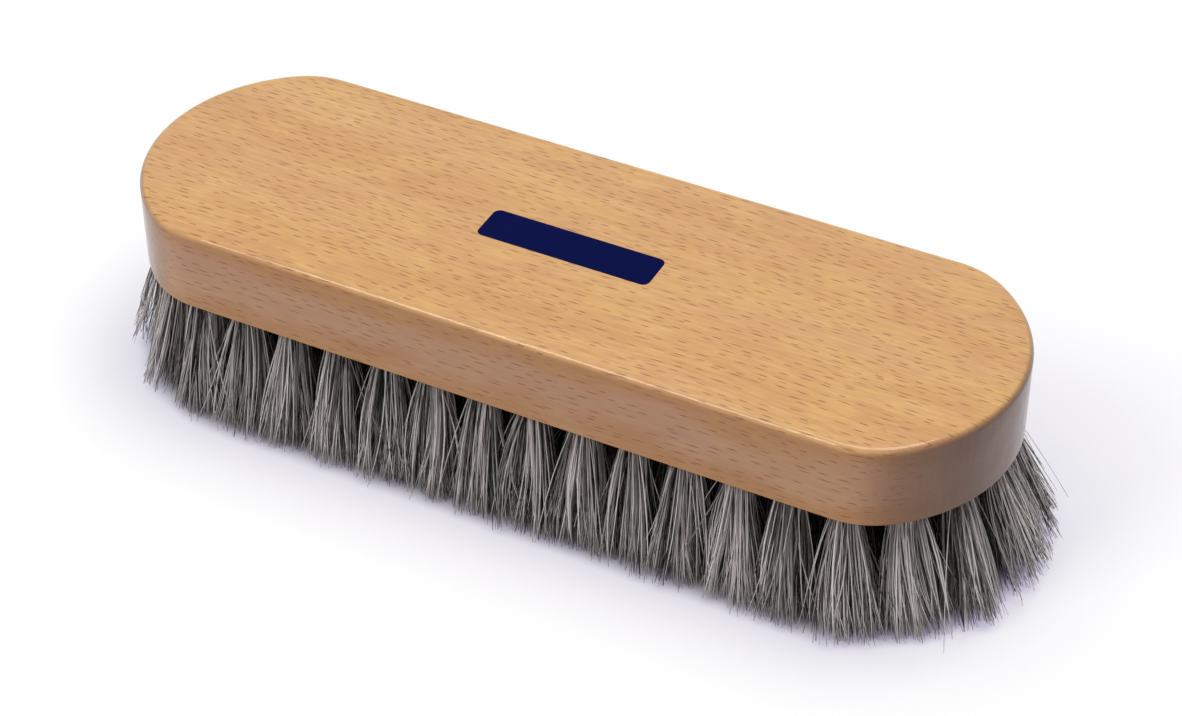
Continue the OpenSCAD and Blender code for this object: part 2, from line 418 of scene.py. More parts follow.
# %% [markdown]
# ## Steamed beech under clear lacquer
# Steamed beech is honey tan, with a fine straight grain and, all over it, short dark
# flecks. An image of wood could be wrapped round the block, but it would show seams at the
# edges. So the pattern is solid: it is worked out from Object coordinates in metres and
# stretched along X, and what runs out over an edge goes on down the side. The grain isn't
# quite straight, so flecks, bands and fibres are read from places that drift by up to 4 mm.

# %% Where the grain runs
WANDER = (55.6, 25.0, 25.0)
DRIFT = (0.0, 4.0, 3.0)

beech = empty_material("steamed_beech_clear_lacquer")
place = add_node(beech, "ShaderNodeTexCoord").outputs["Object"]
wander_place = add_node(beech, "ShaderNodeMapping", {
    "Vector": place, "Scale": per_metre(*WANDER)}).outputs[0]
wander = add_node(beech, "ShaderNodeTexNoise", {
    "Vector": wander_place, "Scale": 1.0, "Detail": 1.0}).outputs["Color"]
drift = add_node(beech, "ShaderNodeVectorMath", {
    0: wander, 1: [size * MM for size in DRIFT]}, operation="MULTIPLY").outputs[0]
grain_place = add_node(beech, "ShaderNodeVectorMath", {0: place, 1: drift}).outputs[0]

normal_of_face = add_node(beech, "ShaderNodeNewGeometry").outputs["Normal"]
facing = add_node(beech, "ShaderNodeSeparateXYZ", {0: normal_of_face}).outputs
faces_end = add_node(beech, "ShaderNodeMath", {0: facing[0]}, operation="ABSOLUTE").outputs[0]
faces_up = add_node(beech, "ShaderNodeMath", {0: facing[2]}, operation="ABSOLUTE").outputs[0]
print("the grain drifts by up to", max(DRIFT), "mm")

# %% [markdown]
# ## The flecks
# The flecks are the cut ends of the wood's rays, 2 to 4 mm long and a quarter of a
# millimetre wide. Noise makes blots, not dashes of one width. So the wood is cut into
# cells, and each row of cells slips by its own length. White noise gives each cell its
# lots: whether it holds a dash, and the dash's height, length and darkness.

# %% One lot for each cell
CELL = (4.0, 1.2, 1.2)

cells = add_node(beech, "ShaderNodeMapping", {"Vector": grain_place, "Scale": per_metre(*CELL)}).outputs[0]
row = add_node(beech, "ShaderNodeVectorMath", {0: cells}, operation="FLOOR").outputs[0]
row = add_node(beech, "ShaderNodeVectorMath", {0: row, 1: (0, 1, 1)}, operation="MULTIPLY").outputs[0]
slip = add_node(beech, "ShaderNodeTexWhiteNoise", {"Vector": row}, noise_dimensions="3D").outputs["Value"]
slip = add_node(beech, "ShaderNodeCombineXYZ", {0: slip}).outputs[0]
slipped = add_node(beech, "ShaderNodeVectorMath", {0: cells, 1: slip}).outputs[0]
cell = add_node(beech, "ShaderNodeVectorMath", {0: slipped}, operation="FLOOR").outputs[0]
drawn_lot = add_node(beech, "ShaderNodeTexWhiteNoise", {"Vector": cell}, noise_dimensions="3D").outputs
lots = add_node(beech, "ShaderNodeSeparateColor", {0: drawn_lot["Color"]}).outputs
in_cell = add_node(beech, "ShaderNodeVectorMath", {0: slipped}, operation="FRACTION").outputs[0]
in_cell = add_node(beech, "ShaderNodeSeparateXYZ", {0: in_cell}).outputs
print("cells of", CELL, "mm")

# %% One dash in six cells of ten
EMPTY_CELLS = 0.4
UPPER_FACE = 0.7
# Parts of a cell: a dash is dark at its middle and fades to its ends, and to both sides.
DARK_MIDDLE, SHORTEST, LONGEST = 0.1, 0.2, 0.48
DARK_LINE, FADED_LINE = 0.07, 0.14
LOWEST, HIGHEST = 0.15, 0.85
PALEST, DARKEST = 0.3, 0.8

from_middle = add_node(beech, "ShaderNodeMath", {0: in_cell[0], 1: 0.5}, operation="SUBTRACT").outputs[0]
from_middle = add_node(beech, "ShaderNodeMath", {0: from_middle}, operation="ABSOLUTE").outputs[0]
half_length = add_node(beech, "ShaderNodeMapRange", {
    "Value": lots[1], "To Min": SHORTEST, "To Max": LONGEST}).outputs[0]
dash = add_node(beech, "ShaderNodeMapRange", {
    "Value": from_middle, "From Min": DARK_MIDDLE, "From Max": half_length,
    "To Min": 1.0, "To Max": 0.0}).outputs[0]
# On the upper face a dash is thin across Y, on the sides across Z.
is_level = add_node(beech, "ShaderNodeMath", {
    0: faces_up, 1: UPPER_FACE}, operation="GREATER_THAN").outputs[0]
across = add_node(beech, "ShaderNodeMix", {
    SHARE: is_level, NUMBER_A: in_cell[2], NUMBER_B: in_cell[1]}, data_type="FLOAT").outputs[0]
height = add_node(beech, "ShaderNodeMapRange", {
    "Value": lots[2], "To Min": LOWEST, "To Max": HIGHEST}).outputs[0]
from_line = add_node(beech, "ShaderNodeMath", {0: across, 1: height}, operation="SUBTRACT").outputs[0]
from_line = add_node(beech, "ShaderNodeMath", {0: from_line}, operation="ABSOLUTE").outputs[0]
thin = add_node(beech, "ShaderNodeMapRange", {
    "Value": from_line, "From Min": DARK_LINE, "From Max": FADED_LINE,
    "To Min": 1.0, "To Max": 0.0}).outputs[0]
dark = add_node(beech, "ShaderNodeMapRange", {
    "Value": lots[0], "To Min": PALEST, "To Max": DARKEST}).outputs[0]
fleck = add_node(beech, "ShaderNodeMath", {
    0: drawn_lot["Value"], 1: EMPTY_CELLS}, operation="GREATER_THAN").outputs[0]
for factor in (dash, thin, dark):
    fleck = add_node(beech, "ShaderNodeMath", {0: fleck, 1: factor}, operation="MULTIPLY").outputs[0]
print("longest fleck:", round(2 * LONGEST * CELL[0], 1), "mm")

# %% [markdown]
# ## The tans
# Under the flecks lie three things: broad bands of two honey tans, where the board's yearly
# rings were cut, clouds of a yellower tan, where the lacquer lies thicker, and fine darker
# fibres. Each is a noise texture with its own size in millimetres, along the grain, across
# it and upwards. Noise seldom leaves the middle of its range, so that part is stretched.

# %% Bands, clouds and fibres
BANDS = (91.0, 7.14, 11.1)
CLOUDS = (16.7, 8.33, 8.33)
FIBRES = (6.67, 0.7143, 0.8)

band_place = add_node(beech, "ShaderNodeMapping", {
    "Vector": grain_place, "Scale": per_metre(*BANDS)}).outputs[0]
bands = add_node(beech, "ShaderNodeTexNoise", {
    "Vector": band_place, "Scale": 1.0, "Detail": 2.0}).outputs["Fac"]
band_share = add_node(beech, "ShaderNodeMapRange", {
    "Value": bands, "From Min": 0.3, "From Max": 0.7}).outputs[0]
tan = add_node(beech, "ShaderNodeMix", {
    SHARE: band_share, COLOUR_A: linear("#dfad75"), COLOUR_B: linear("#d5a063")},
    data_type="RGBA").outputs[COLOUR]

cloud_place = add_node(beech, "ShaderNodeMapping", {
    "Vector": place, "Scale": per_metre(*CLOUDS)}).outputs[0]
clouds = add_node(beech, "ShaderNodeTexNoise", {
    "Vector": cloud_place, "Scale": 1.0, "Detail": 2.0}).outputs["Fac"]
cloud_share = add_node(beech, "ShaderNodeMapRange", {
    "Value": clouds, "From Min": 0.42, "From Max": 0.64, "To Max": 0.5}).outputs[0]
tan = add_node(beech, "ShaderNodeMix", {
    SHARE: cloud_share, COLOUR_A: tan, COLOUR_B: linear("#e8bb70")}, data_type="RGBA").outputs[COLOUR]

fibre_place = add_node(beech, "ShaderNodeMapping", {
    "Vector": grain_place, "Scale": per_metre(*FIBRES)}).outputs[0]
fibres = add_node(beech, "ShaderNodeTexNoise", {
    "Vector": fibre_place, "Scale": 1.0, "Detail": 3.0, "Roughness": 0.6}).outputs["Fac"]
fibre_share = add_node(beech, "ShaderNodeMapRange", {
    "Value": fibres, "From Min": 0.3, "From Max": 0.7, "To Max": 0.55}).outputs[0]
tan = add_node(beech, "ShaderNodeMix", {
    SHARE: fibre_share, COLOUR_A: tan, COLOUR_B: linear("#b9804a")}, data_type="RGBA").outputs[COLOUR]
print("fibres", FIBRES[0], "mm long and", FIBRES[1], "mm wide")

# %% [markdown]
# ## The sides and the ends
# The sides are painted a shade browner than the upper face, a painted shade: red-brown
# near both edges, with a paler, pinker band between them that has wavy borders, a painted
# reflection of the white sheet in the lacquer. The round ends cut across the fibres, and end
# grain swallows light, so they are the darkest part, with faint upright streaks; part of
# their darkness is painted shade. The normal's parts along Z and X tell where each begins.

# %% Side and end tones, with painted shade and a painted reflection
STREAKS = (2.0, 1.111, 11.1)
BORDER_WAVES = 12 * MM
# Heights on the sides, above which the painted reflection band has begun or is over, each with its soft
# start.
REFLECTION_BAND_BEGINS = (35.0 * MM, 38.5 * MM)
REFLECTION_BAND_IS_OVER = (43.5 * MM, 47.5 * MM)

# Painted shade: the sides get a browner tone than the upper face, standing in for the lesser light that
# falls on them.
# All side where the normal's upright part is 0.1 or less, all upper face from 0.6.
painted_side_shade_share = add_node(beech, "ShaderNodeMapRange", {
    "Value": faces_up, "From Min": 0.1, "From Max": 0.6, "To Min": 0.55, "To Max": 0.0}).outputs[0]
level = add_node(beech, "ShaderNodeSeparateXYZ", {0: place}).outputs[2]
# Painted reflection: a paler, pinker band high on the sides stands in for the white sheet mirrored in the
# lacquer.
wavy_level = add_node(beech, "ShaderNodeMath", {
    0: clouds, 1: BORDER_WAVES, 2: level}, operation="MULTIPLY_ADD").outputs[0]
begun = add_node(beech, "ShaderNodeMapRange", {
    "Value": wavy_level, "From Min": REFLECTION_BAND_BEGINS[0], "From Max": REFLECTION_BAND_BEGINS[1]}).outputs[0]
not_over = add_node(beech, "ShaderNodeMapRange", {
    "Value": wavy_level, "From Min": REFLECTION_BAND_IS_OVER[0], "From Max": REFLECTION_BAND_IS_OVER[1],
    "To Min": 1.0, "To Max": 0.0}).outputs[0]
painted_reflection_band = add_node(beech, "ShaderNodeMath", {0: begun, 1: not_over}, operation="MULTIPLY").outputs[0]
# Red-brown painted shade, and pink painted reflection in the band.
side_painted_shade_and_reflection = add_node(beech, "ShaderNodeMix", {
    SHARE: painted_reflection_band, COLOUR_A: linear("#ad6a3c"), COLOUR_B: linear("#bb8877")},
    data_type="RGBA").outputs[COLOUR]

# An end begins where the normal's part along X is 0.25, and is at its full share from 0.9.
end_share = add_node(beech, "ShaderNodeMapRange", {
    "Value": faces_end, "From Min": 0.25, "From Max": 0.9, "To Max": 0.92}).outputs[0]
streak_place = add_node(beech, "ShaderNodeMapping", {
    "Vector": place, "Scale": per_metre(*STREAKS)}).outputs[0]
streaks = add_node(beech, "ShaderNodeTexNoise", {
    "Vector": streak_place, "Scale": 1.0, "Detail": 3.0}).outputs["Fac"]
# Partly the end grain's own dark tone, partly painted shade: the ends are darker than end grain alone would
# make them.
end_grain_and_painted_shade = add_node(beech, "ShaderNodeMix", {
    SHARE: streaks, COLOUR_A: linear("#4c2a20"), COLOUR_B: linear("#6f4538")},
    data_type="RGBA").outputs[COLOUR]

tone = tan
# The side and end tones carry painted shade, and the side's pink band a painted reflection; the fleck is the
# wood's own.
for share, other in ((painted_side_shade_share, side_painted_shade_and_reflection), (end_share, end_grain_and_painted_shade), (fleck, linear("#8a4e1e"))):
    tone = add_node(beech, "ShaderNodeMix", {
        SHARE: share, COLOUR_A: tone, COLOUR_B: other}, data_type="RGBA").outputs[COLOUR]
print("tones of the beech: tan, side, end and fleck")

# %% [markdown]
# ## The lacquer
# The brush was dipped in clear lacquer. That is a second, sharper reflection over the dull
# one of the wood, and the Coat of the Principled shader gives it. The fibres keep a slight
# relief under it. The lacquer's own face has shallow waves, which break up the mirror image
# of the room, so it gets a bump of its own.

# %% Lacquer over the wood
FIBRE_RELIEF = 0.04 * MM
WAVE, WAVE_RELIEF = 5.88, 0.2 * MM

relief = add_node(beech, "ShaderNodeBump", {
    "Height": fibres, "Strength": 0.3, "Distance": FIBRE_RELIEF}).outputs[0]
waves = add_node(beech, "ShaderNodeTexNoise", {
    "Vector": place, "Scale": per_metre(WAVE)[0], "Detail": 1.0}).outputs["Fac"]
lacquer_waves = add_node(beech, "ShaderNodeBump", {
    "Height": waves, "Strength": 1.0, "Distance": WAVE_RELIEF}).outputs[0]
beech_shader = add_node(beech, "ShaderNodeBsdfPrincipled", {
    "Base Color": tone, "Roughness": 0.5, "IOR": 1.5, "Specular IOR Level": 0.15,
    "Normal": relief, "Coat Weight": 0.75, "Coat Roughness": 0.08, "Coat IOR": 1.5,
    "Coat Normal": lacquer_waves})
add_node(beech, "ShaderNodeOutputMaterial", {"Surface": beech_shader.outputs[0]})
block.data.materials.append(beech)
print("beech nodes:", len(beech.node_tree.nodes))

# %% [markdown]
# ## The panel and the anchors
# The panel is a thin film of navy screen print, left bare. It is a CAD node of the right
# shape, so it only gets a material: a deep, even blue with the faint mottle of print. The
# anchors are snips of flat steel wire deep in their holes, where only a mirror would find
# them, and they get the satin of drawn wire.

# %% Navy print
PRINT_MOTTLE = 0.5556

navy = empty_material("navy_print_under_lacquer")
navy_place = add_node(navy, "ShaderNodeTexCoord").outputs["Object"]
mottle = add_node(navy, "ShaderNodeTexNoise", {
    "Vector": navy_place, "Scale": per_metre(PRINT_MOTTLE)[0], "Detail": 2.0}).outputs["Fac"]
navy_tone = add_node(navy, "ShaderNodeMix", {
    SHARE: mottle, COLOUR_A: linear("#01063a"), COLOUR_B: linear("#030c48")},
    data_type="RGBA").outputs[COLOUR]
navy_shader = add_node(navy, "ShaderNodeBsdfPrincipled", {
    "Base Color": navy_tone, "Roughness": 0.5, "IOR": 1.4, "Specular IOR Level": 0.04})
add_node(navy, "ShaderNodeOutputMaterial", {"Surface": navy_shader.outputs[0]})
print("print mottle:", PRINT_MOTTLE, "mm")

# %% Drawn wire, and both finishes on their nodes
DRAWING_MARKS = 0.11111

wire = empty_material("drawn_steel_wire")
wire_place = add_node(wire, "ShaderNodeTexCoord").outputs["Object"]
marks = add_node(wire, "ShaderNodeTexNoise", {
    "Vector": wire_place, "Scale": per_metre(DRAWING_MARKS)[0], "Detail": 1.0}).outputs["Fac"]
satin = add_node(wire, "ShaderNodeMapRange", {"Value": marks, "To Min": 0.28, "To Max": 0.45}).outputs[0]
wire_shader = add_node(wire, "ShaderNodeBsdfPrincipled", {
    "Base Color": linear("#b9babd"), "Metallic": 1.0, "Roughness": satin})
add_node(wire, "ShaderNodeOutputMaterial", {"Surface": wire_shader.outputs[0]})

finishes = {name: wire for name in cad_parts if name.startswith("anchors")}
finishes["label_panel"] = navy
for name, finish in finishes.items():
    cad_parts[name].data.materials.clear()
    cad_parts[name].data.materials.append(finish)
print("dressed CAD nodes:", len(finishes))

# %% [markdown]
# ## The horsehair
# Each tuft leaves its hole as a bundle 4 mm wide and fans out until it touches its
# neighbours. Hair particles would be the usual way, but they vanish on export, so every
# hair is a real tube of three sides and six lengths, only 38 triangles. Hairs gather in
# locks: each hair belongs to the lock whose root is nearest to its own, and its tip follows
# the lock's. One hair in three is loose. The random numbers come from one seeded generator
# for each piece of hair, so each run gives the same brush.

# %% Roots and locks
HAIR_STEPS = 6
HAIR_ROOT_Z = BOTTOM_Z + 2.5
TUFT_R = 2.1
LOCK_BLUR = 0.25
# For each ring: hairs and locks in a tuft, how far it fans, outwards and along the ring,
# and the share of hairs that stick out.
HAIRS = {
    "outer": {"hairs": 290, "locks": 20, "fan": (2.0, 2.45), "strays": 0.012},
    "middle": {"hairs": 250, "locks": 16, "fan": (3.0, 3.0), "strays": 0.0},
    "inner": {"hairs": 220, "locks": 14, "fan": (3.0, 3.0), "strays": 0.0},
}


def disc_points(rng, tufts, count):
    """Random points in a tuft's round section: at an angle, TUFT_R times a lot's square root away."""
    angle = rng.uniform(0, 2 * math.pi, (tufts, count))
    away = TUFT_R * np.sqrt(rng.uniform(0, 1, (tufts, count)))
    return np.stack([away * np.cos(angle), away * np.sin(angle)], -1)


def nearest_lock(rng, root, lock_root):
    """The number of each hair's lock: the one with the nearest root, blurred by a few tenths."""
    gap = np.linalg.norm(root[:, :, None] - lock_root[:, None], axis=-1)
    return np.argmin(gap + rng.normal(0, LOCK_BLUR, gap.shape), axis=-1)


def of_lock(values, lock):
    """What each hair gets from its lock, of values for tufts by locks."""
    return np.take_along_axis(values, lock if values.ndim == 2 else lock[..., None], 1)


print("hairs in an outer tuft:", HAIRS["outer"]["hairs"], "in", HAIRS["outer"]["locks"], "locks")

# %% Tips of the hairs
OWN_PULL, LOCK_PULL = 0.2, 0.8
FAN_SPREAD = 0.12
LOCK_SCATTER, TUFT_SLIP = 1.3, 0.5
LOOSE_SHARE = 0.35
LOOSE_SCATTER, HELD_SCATTER = 1.3, 0.3


def fanned_tips(rng, root, lock_root, lock, fan):
    """Tips in a tuft's own axes, outwards and along the ring.

    A tip is a fifth of its own root times the fan, and four fifths of its lock's tip, which
    is the lock's root times the fan, scattered. A held hair scatters a little round that, a
    loose one more, and each tuft slips as a whole.
    """
    tufts, hairs, _ = root.shape
    fan = fan * rng.normal(1.0, FAN_SPREAD, (tufts, 1, 2))
    lock_tip = lock_root * fan + rng.normal(0, LOCK_SCATTER, lock_root.shape)
    tip = root * fan * OWN_PULL + of_lock(lock_tip, lock) * LOCK_PULL
    is_loose = rng.uniform(size=(tufts, hairs)) < LOOSE_SHARE
    scatter = np.where(is_loose, LOOSE_SCATTER, HELD_SCATTER)[..., None]
    tip = tip + rng.normal(0, 1.0, tip.shape) * scatter
    return tip + rng.normal(0, TUFT_SLIP, (tufts, 1, 2))


print("a tuft fans to about", round(2 * TUFT_R * HAIRS["outer"]["fan"][1], 1), "mm along its ring")

# %% [markdown]
# ## Shades and strays
# Grey horsehair is a mix of nearly black, grey and silver hairs. Each hair draws one of the
# three, and its lock and tuft shift it a little, which gives a tuft its light and dark
# strands. The photograph shows the light hairs outside, so they are made a little stiffer.
# A few hairs cross over to the next tuft, and a few stick out sideways. A hair keeps its
# length, so its tip rises from the floor as it splays.

# %% Shades, and what the shade does to a tip
BLACK, GREY, SILVER = 0.06, 0.42, 0.92
KIND_SHARES = [0.46, 0.25, 0.29]
LOCK_SHADE, TUFT_SHADE, HAIR_SHADE = 0.17, 0.05, 0.08
# Painted light: tufts at the right end are made paler, standing in for the brighter light on them.
RIGHT_END_PAINTED_LIGHT = 0.1
STIFFNESS = 1.2
CROSS_SHARE, CROSS_REACH = 0.09, 4.0
MORE_LEAN_AT_END = 0.45
LEAN_HEIGHT = 25.4
STRAY_OUT, STRAY_UP = (1.0, 3.5), (1.0, 7.0)
FULL_REACH, PAST_REACH = 9.6, 0.3
FREE_SPLAY = 5.4
UNEVEN_CUT = 1.0
LOWEST_TIP, HIGHEST_TIP = 0.02, 9.0


def hair_shades(rng, lock, locks, right_end):
    """One shade for each hair, 0 for black and 1 for silver: its kind plus its lock's and tuft's shifts, and
    painted light on the right end's tufts.
    """
    tufts = len(lock)
    kind = rng.choice([BLACK, GREY, SILVER], lock.shape, p=KIND_SHARES)
    lock_shade = of_lock(rng.normal(0, LOCK_SHADE, (tufts, locks)), lock)
    # Painted light: the right end's tufts get a paler shade.
    tuft_shade = rng.normal(0, TUFT_SHADE, (tufts, 1)) + RIGHT_END_PAINTED_LIGHT * right_end
    return np.clip(kind + tuft_shade + lock_shade + rng.normal(0, HAIR_SHADE, kind.shape), 0, 1)


def splayed_tips(rng, tip, shade, lean, right_end, stray_share):
    """Moves the tips outwards and along the ring, and returns them with their heights.

    Outwards, stiffness * (shade - 0.5), tan(lean) times the lean's height and a stray's
    extra are added. Past the full reach a tip gets only 0.3 of the rest. The splay raises a
    tip by (splay ** 2 - free splay ** 2) / (2 * length), and an uneven cut adds to that.
    """
    out, along = tip[..., 0], tip[..., 1]
    out = out + STIFFNESS * (shade - 0.5)
    crosses = rng.uniform(size=shade.shape) < CROSS_SHARE
    along = along + crosses * rng.normal(0, CROSS_REACH, shade.shape)
    out = out + np.tan(np.radians(lean * (1 + MORE_LEAN_AT_END * right_end))) * LEAN_HEIGHT
    strays = rng.uniform(size=shade.shape) < stray_share
    out = out + strays * rng.uniform(*STRAY_OUT, shade.shape)
    out = np.minimum(out, FULL_REACH + PAST_REACH * np.maximum(out - FULL_REACH, 0))
    splay = np.maximum(out, FREE_SPLAY)
    cut = rng.exponential(UNEVEN_CUT, shade.shape)
    height = np.clip(cut + (splay ** 2 - FREE_SPLAY ** 2) / (2 * BOTTOM_Z), LOWEST_TIP, HIGHEST_TIP)
    height = height + strays * rng.uniform(*STRAY_UP, shade.shape)
    return np.stack([out, along], -1), height


print("shares of black, grey and silver hairs:", KIND_SHARES)

# %% Centre lines of the hairs
LOCK_BOW, HAIR_BOW = 0.6, 0.45
CURL, MOST_CURL = 0.75, 1.2
SWEEP, SWEEP_GROWTH = 1.2, 1.6


def hair_lines(places, lean, growth, seed):
    """Centre lines, as an array of hairs by steps by 3, a shade for each hair, and the generator.

    In a tuft's own axes a hair is, for t from 0 at the root to 1 at the tip,
    root + (tip - root) * t ** 1.05 + bow * sin(pi t) + curl * t ** 4. All tips are swept a
    little to the right, by sweep * t ** 1.5, as in the photograph.
    """
    rng = np.random.default_rng(seed)
    tufts, hairs, locks = len(places), growth["hairs"], growth["locks"]
    angle = places[:, 2]
    right_end = np.clip(np.cos(angle), 0, 1)[:, None]
    root = disc_points(rng, tufts, hairs)
    lock_root = disc_points(rng, tufts, locks)
    lock = nearest_lock(rng, root, lock_root)
    tip = fanned_tips(rng, root, lock_root, lock, np.array(growth["fan"]))
    shade = hair_shades(rng, lock, locks, right_end)
    tip, tip_z = splayed_tips(rng, tip, shade, lean, right_end, growth["strays"])

    t = np.linspace(0, 1, HAIR_STEPS + 1)[None, None, :, None]
    lock_bow = of_lock(rng.normal(0, LOCK_BOW, (tufts, locks, 2)), lock)
    bow = lock_bow[:, :, None] + rng.normal(0, HAIR_BOW, (tufts, hairs, 1, 2))
    curl = np.clip(rng.normal(0, CURL, (tufts, hairs, 1, 2)), -MOST_CURL, MOST_CURL)
    local = root[:, :, None] + (tip - root)[:, :, None] * t ** 1.05
    local = local + bow * np.sin(math.pi * t) + curl * t ** 4

    out = np.stack([np.cos(angle), np.sin(angle)], -1)[:, None, None]
    along = np.stack([-np.sin(angle), np.cos(angle)], -1)[:, None, None]
    xy = places[:, None, None, :2] + local[..., :1] * out + local[..., 1:] * along
    sweep = SWEEP + SWEEP_GROWTH * places[:, 0] / (BLOCK_LEN / 2)
    xy = xy + sweep[:, None, None, None] * t ** 1.5 * np.array([1.0, 0.0])
    z = HAIR_ROOT_Z + (tip_z[:, :, None, None] - HAIR_ROOT_Z) * t
    lines = np.concatenate([xy, z], -1).reshape(-1, HAIR_STEPS + 1, 3)
    return lines, shade.ravel(), rng


print("a hair's fall:", HAIR_ROOT_Z, "mm")

# %% [markdown]
# ## From lines to tubes
# Round each step of a centre line lie three points, level with one another, because a hair
# hangs almost straight down. The tubes are about 0.25 mm thick, somewhat more than real
# horsehair, so that fewer fill a tuft. All hairs of one ring and side become one mesh, in
# place of the CAD's tufts. Two attributes go with the points, for the material: the hair's
# shade, and its reach, 0 at the root and 1 at the tip.

# %% Tubes
HAIR_R = 0.118
TAPER = 0.55
THICKNESS_SPREAD, THINNEST, THICKEST = 0.25, 0.6, 2.0
FLOOR_GAP = 0.01


def hair_tubes(lines, shade, rng):
    """Three points round each step, at a radius that shrinks by 0.55 * t ** 3 towards the tip.

    Light hairs are the thicker ones: a radius is HAIR_R times 0.8 + 0.45 * shade and a random spread.
    """
    t = np.linspace(0, 1, lines.shape[1])
    spread = np.clip(rng.lognormal(0, THICKNESS_SPREAD, len(lines)), THINNEST, THICKEST)
    thick = HAIR_R * (0.8 + 0.45 * shade) * spread
    r = thick[:, None] * (1 - TAPER * t ** 3)[None]
    a = rng.uniform(0, 2 * math.pi, len(lines))[:, None] + np.arange(3) * 2 * math.pi / 3
    circle = np.stack([np.cos(a), np.sin(a), np.zeros_like(a)], -1)
    points = lines[:, :, None] + r[:, :, None, None] * circle[:, None]
    points[..., 2] = np.maximum(points[..., 2], FLOOR_GAP)
    return points


# A hair runs downwards, so its quads are turned round to face outwards.
one_tube = grid_quads(HAIR_STEPS + 1, 3)[:, [0, 3, 2, 1]]
print("faces of one hair:", len(one_tube), "quads and 2 triangles")

# %% Grow the twelve pieces of hair
FIRST_SEED = 100


def hair_piece(ring, side, seed):
    """All hairs of one ring on one side of the brush, in place of its CAD tufts."""
    lines, shade, rng = hair_lines(tuft_places(ring, side), RINGS[ring]["lean"], HAIRS[ring], seed)
    points = hair_tubes(lines, shade, rng)
    per_hair = (HAIR_STEPS + 1) * 3
    first = (np.arange(len(lines)) * per_hair)[:, None, None]
    quads = (one_tube[None] + first).reshape(-1, 4)
    ends = np.array([[0, 1, 2], [per_hair - 1, per_hair - 2, per_hair - 3]])
    triangles = (ends[None] + first).reshape(-1, 3)
    piece = mesh_object(f"horsehair_{ring}_{side}", points.reshape(-1, 3), [quads, triangles], True)
    t = np.repeat(np.linspace(0, 1, HAIR_STEPS + 1), 3)
    for name, values in (("shade", np.repeat(shade, per_hair)), ("reach", np.tile(t, len(lines)))):
        attribute = piece.data.attributes.new(name, "FLOAT", "POINT")
        attribute.data.foreach_set("value", values.astype(np.float32))
    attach(piece, "root")
    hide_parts(f"tufts_{ring}_{side}")
    return piece


hair_pieces = {}
for ring in RINGS:
    for side in ("front", "back", "left", "right"):
        hair_pieces[ring, side] = hair_piece(ring, side, FIRST_SEED + len(hair_pieces))
triangles = sum(len(p.data.loops) - 2 * len(p.data.polygons) for p in hair_pieces.values())
print("hair pieces:", len(hair_pieces), "triangles:", triangles)

# %% [markdown]
# ## The colour of horsehair
# Each hair is smooth and a little waxy, so it has a soft highlight along it. The shade
# attribute picks its tone between black-brown and silver. The roots are painted darker, a
# painted shade for the shadow between the tufts, which the reach attribute gives. In the two
# inner rings the painted shade goes further down, and only the tips are pale.

# %% Horsehair materials
def horsehair(name, shaded_root_level, dark_until, pale_from):
    """Shade picks between two tones; reach lifts that from shaded_root_level at the root to 1, a painted
    shade at the roots.
    """
    material = empty_material(name)
    shade = add_node(material, "ShaderNodeAttribute", attribute_name="shade").outputs["Fac"]
    reach = add_node(material, "ShaderNodeAttribute", attribute_name="reach").outputs["Fac"]
    tone = add_node(material, "ShaderNodeMix", {
        SHARE: shade, COLOUR_A: linear("#191415"), COLOUR_B: linear("#f7efed")},
        data_type="RGBA").outputs[COLOUR]
    # Painted shade: the tone is darkened towards the roots.
    painted_root_shade = add_node(material, "ShaderNodeMapRange", {
        "Value": reach, "From Min": dark_until, "From Max": pale_from, "To Min": shaded_root_level}).outputs[0]
    tone = add_node(material, "ShaderNodeMix", {
        SHARE: 1.0, COLOUR_A: tone, COLOUR_B: painted_root_shade}, data_type="RGBA", blend_type="MULTIPLY").outputs[COLOUR]
    shader = add_node(material, "ShaderNodeBsdfPrincipled", {
        "Base Color": tone, "Roughness": 0.4, "IOR": 1.55, "Specular IOR Level": 0.2})
    add_node(material, "ShaderNodeOutputMaterial", {"Surface": shader.outputs[0]})
    return material


# The inner rings get more painted shade at their roots than the outer ring.
hair_finish = {
    "outer": horsehair("grey_horsehair", shaded_root_level=0.7, dark_until=0.05, pale_from=0.5),
    "middle": horsehair("grey_horsehair_middle", shaded_root_level=0.1, dark_until=0.3, pale_from=1.0),
    "inner": horsehair("grey_horsehair_inner", shaded_root_level=0.06, dark_until=0.3, pale_from=1.0),
}
for (ring, side), piece in hair_pieces.items():
    piece.data.materials.append(hair_finish[ring])
print("hair materials:", len(hair_finish))

# %% [markdown]
# ## The white sheet
# The brush stands on a white sheet, with a soft, slightly lilac shadow. Lit white alone goes
# grey where the lamps fade. So the light that bounces about meets a plain white surface,
# but for the camera and for mirror images part of the white is light of the sheet's own. It
# is nil under the brush and lower and bluish in a halo round it, which is a painted shadow,
# and pure white far off. Under the brush the lit tone is a darker grey, more painted shadow,
# and the yellow-green lit tone and the lilac own light add up to white only in full light,
# so the shadow's lilac tint is painted. What counts is the distance from the brush's middle
# line, the straight between its two end arcs.

# %% Distance from the middle line
SHEET = 3000.0
sheet_points = np.array([[-SHEET, -SHEET, 0], [SHEET, -SHEET, 0], [SHEET, SHEET, 0], [-SHEET, SHEET, 0]])
floor = mesh_object("white_sheet", sheet_points, [np.array([[0, 1, 2, 3]])], False)

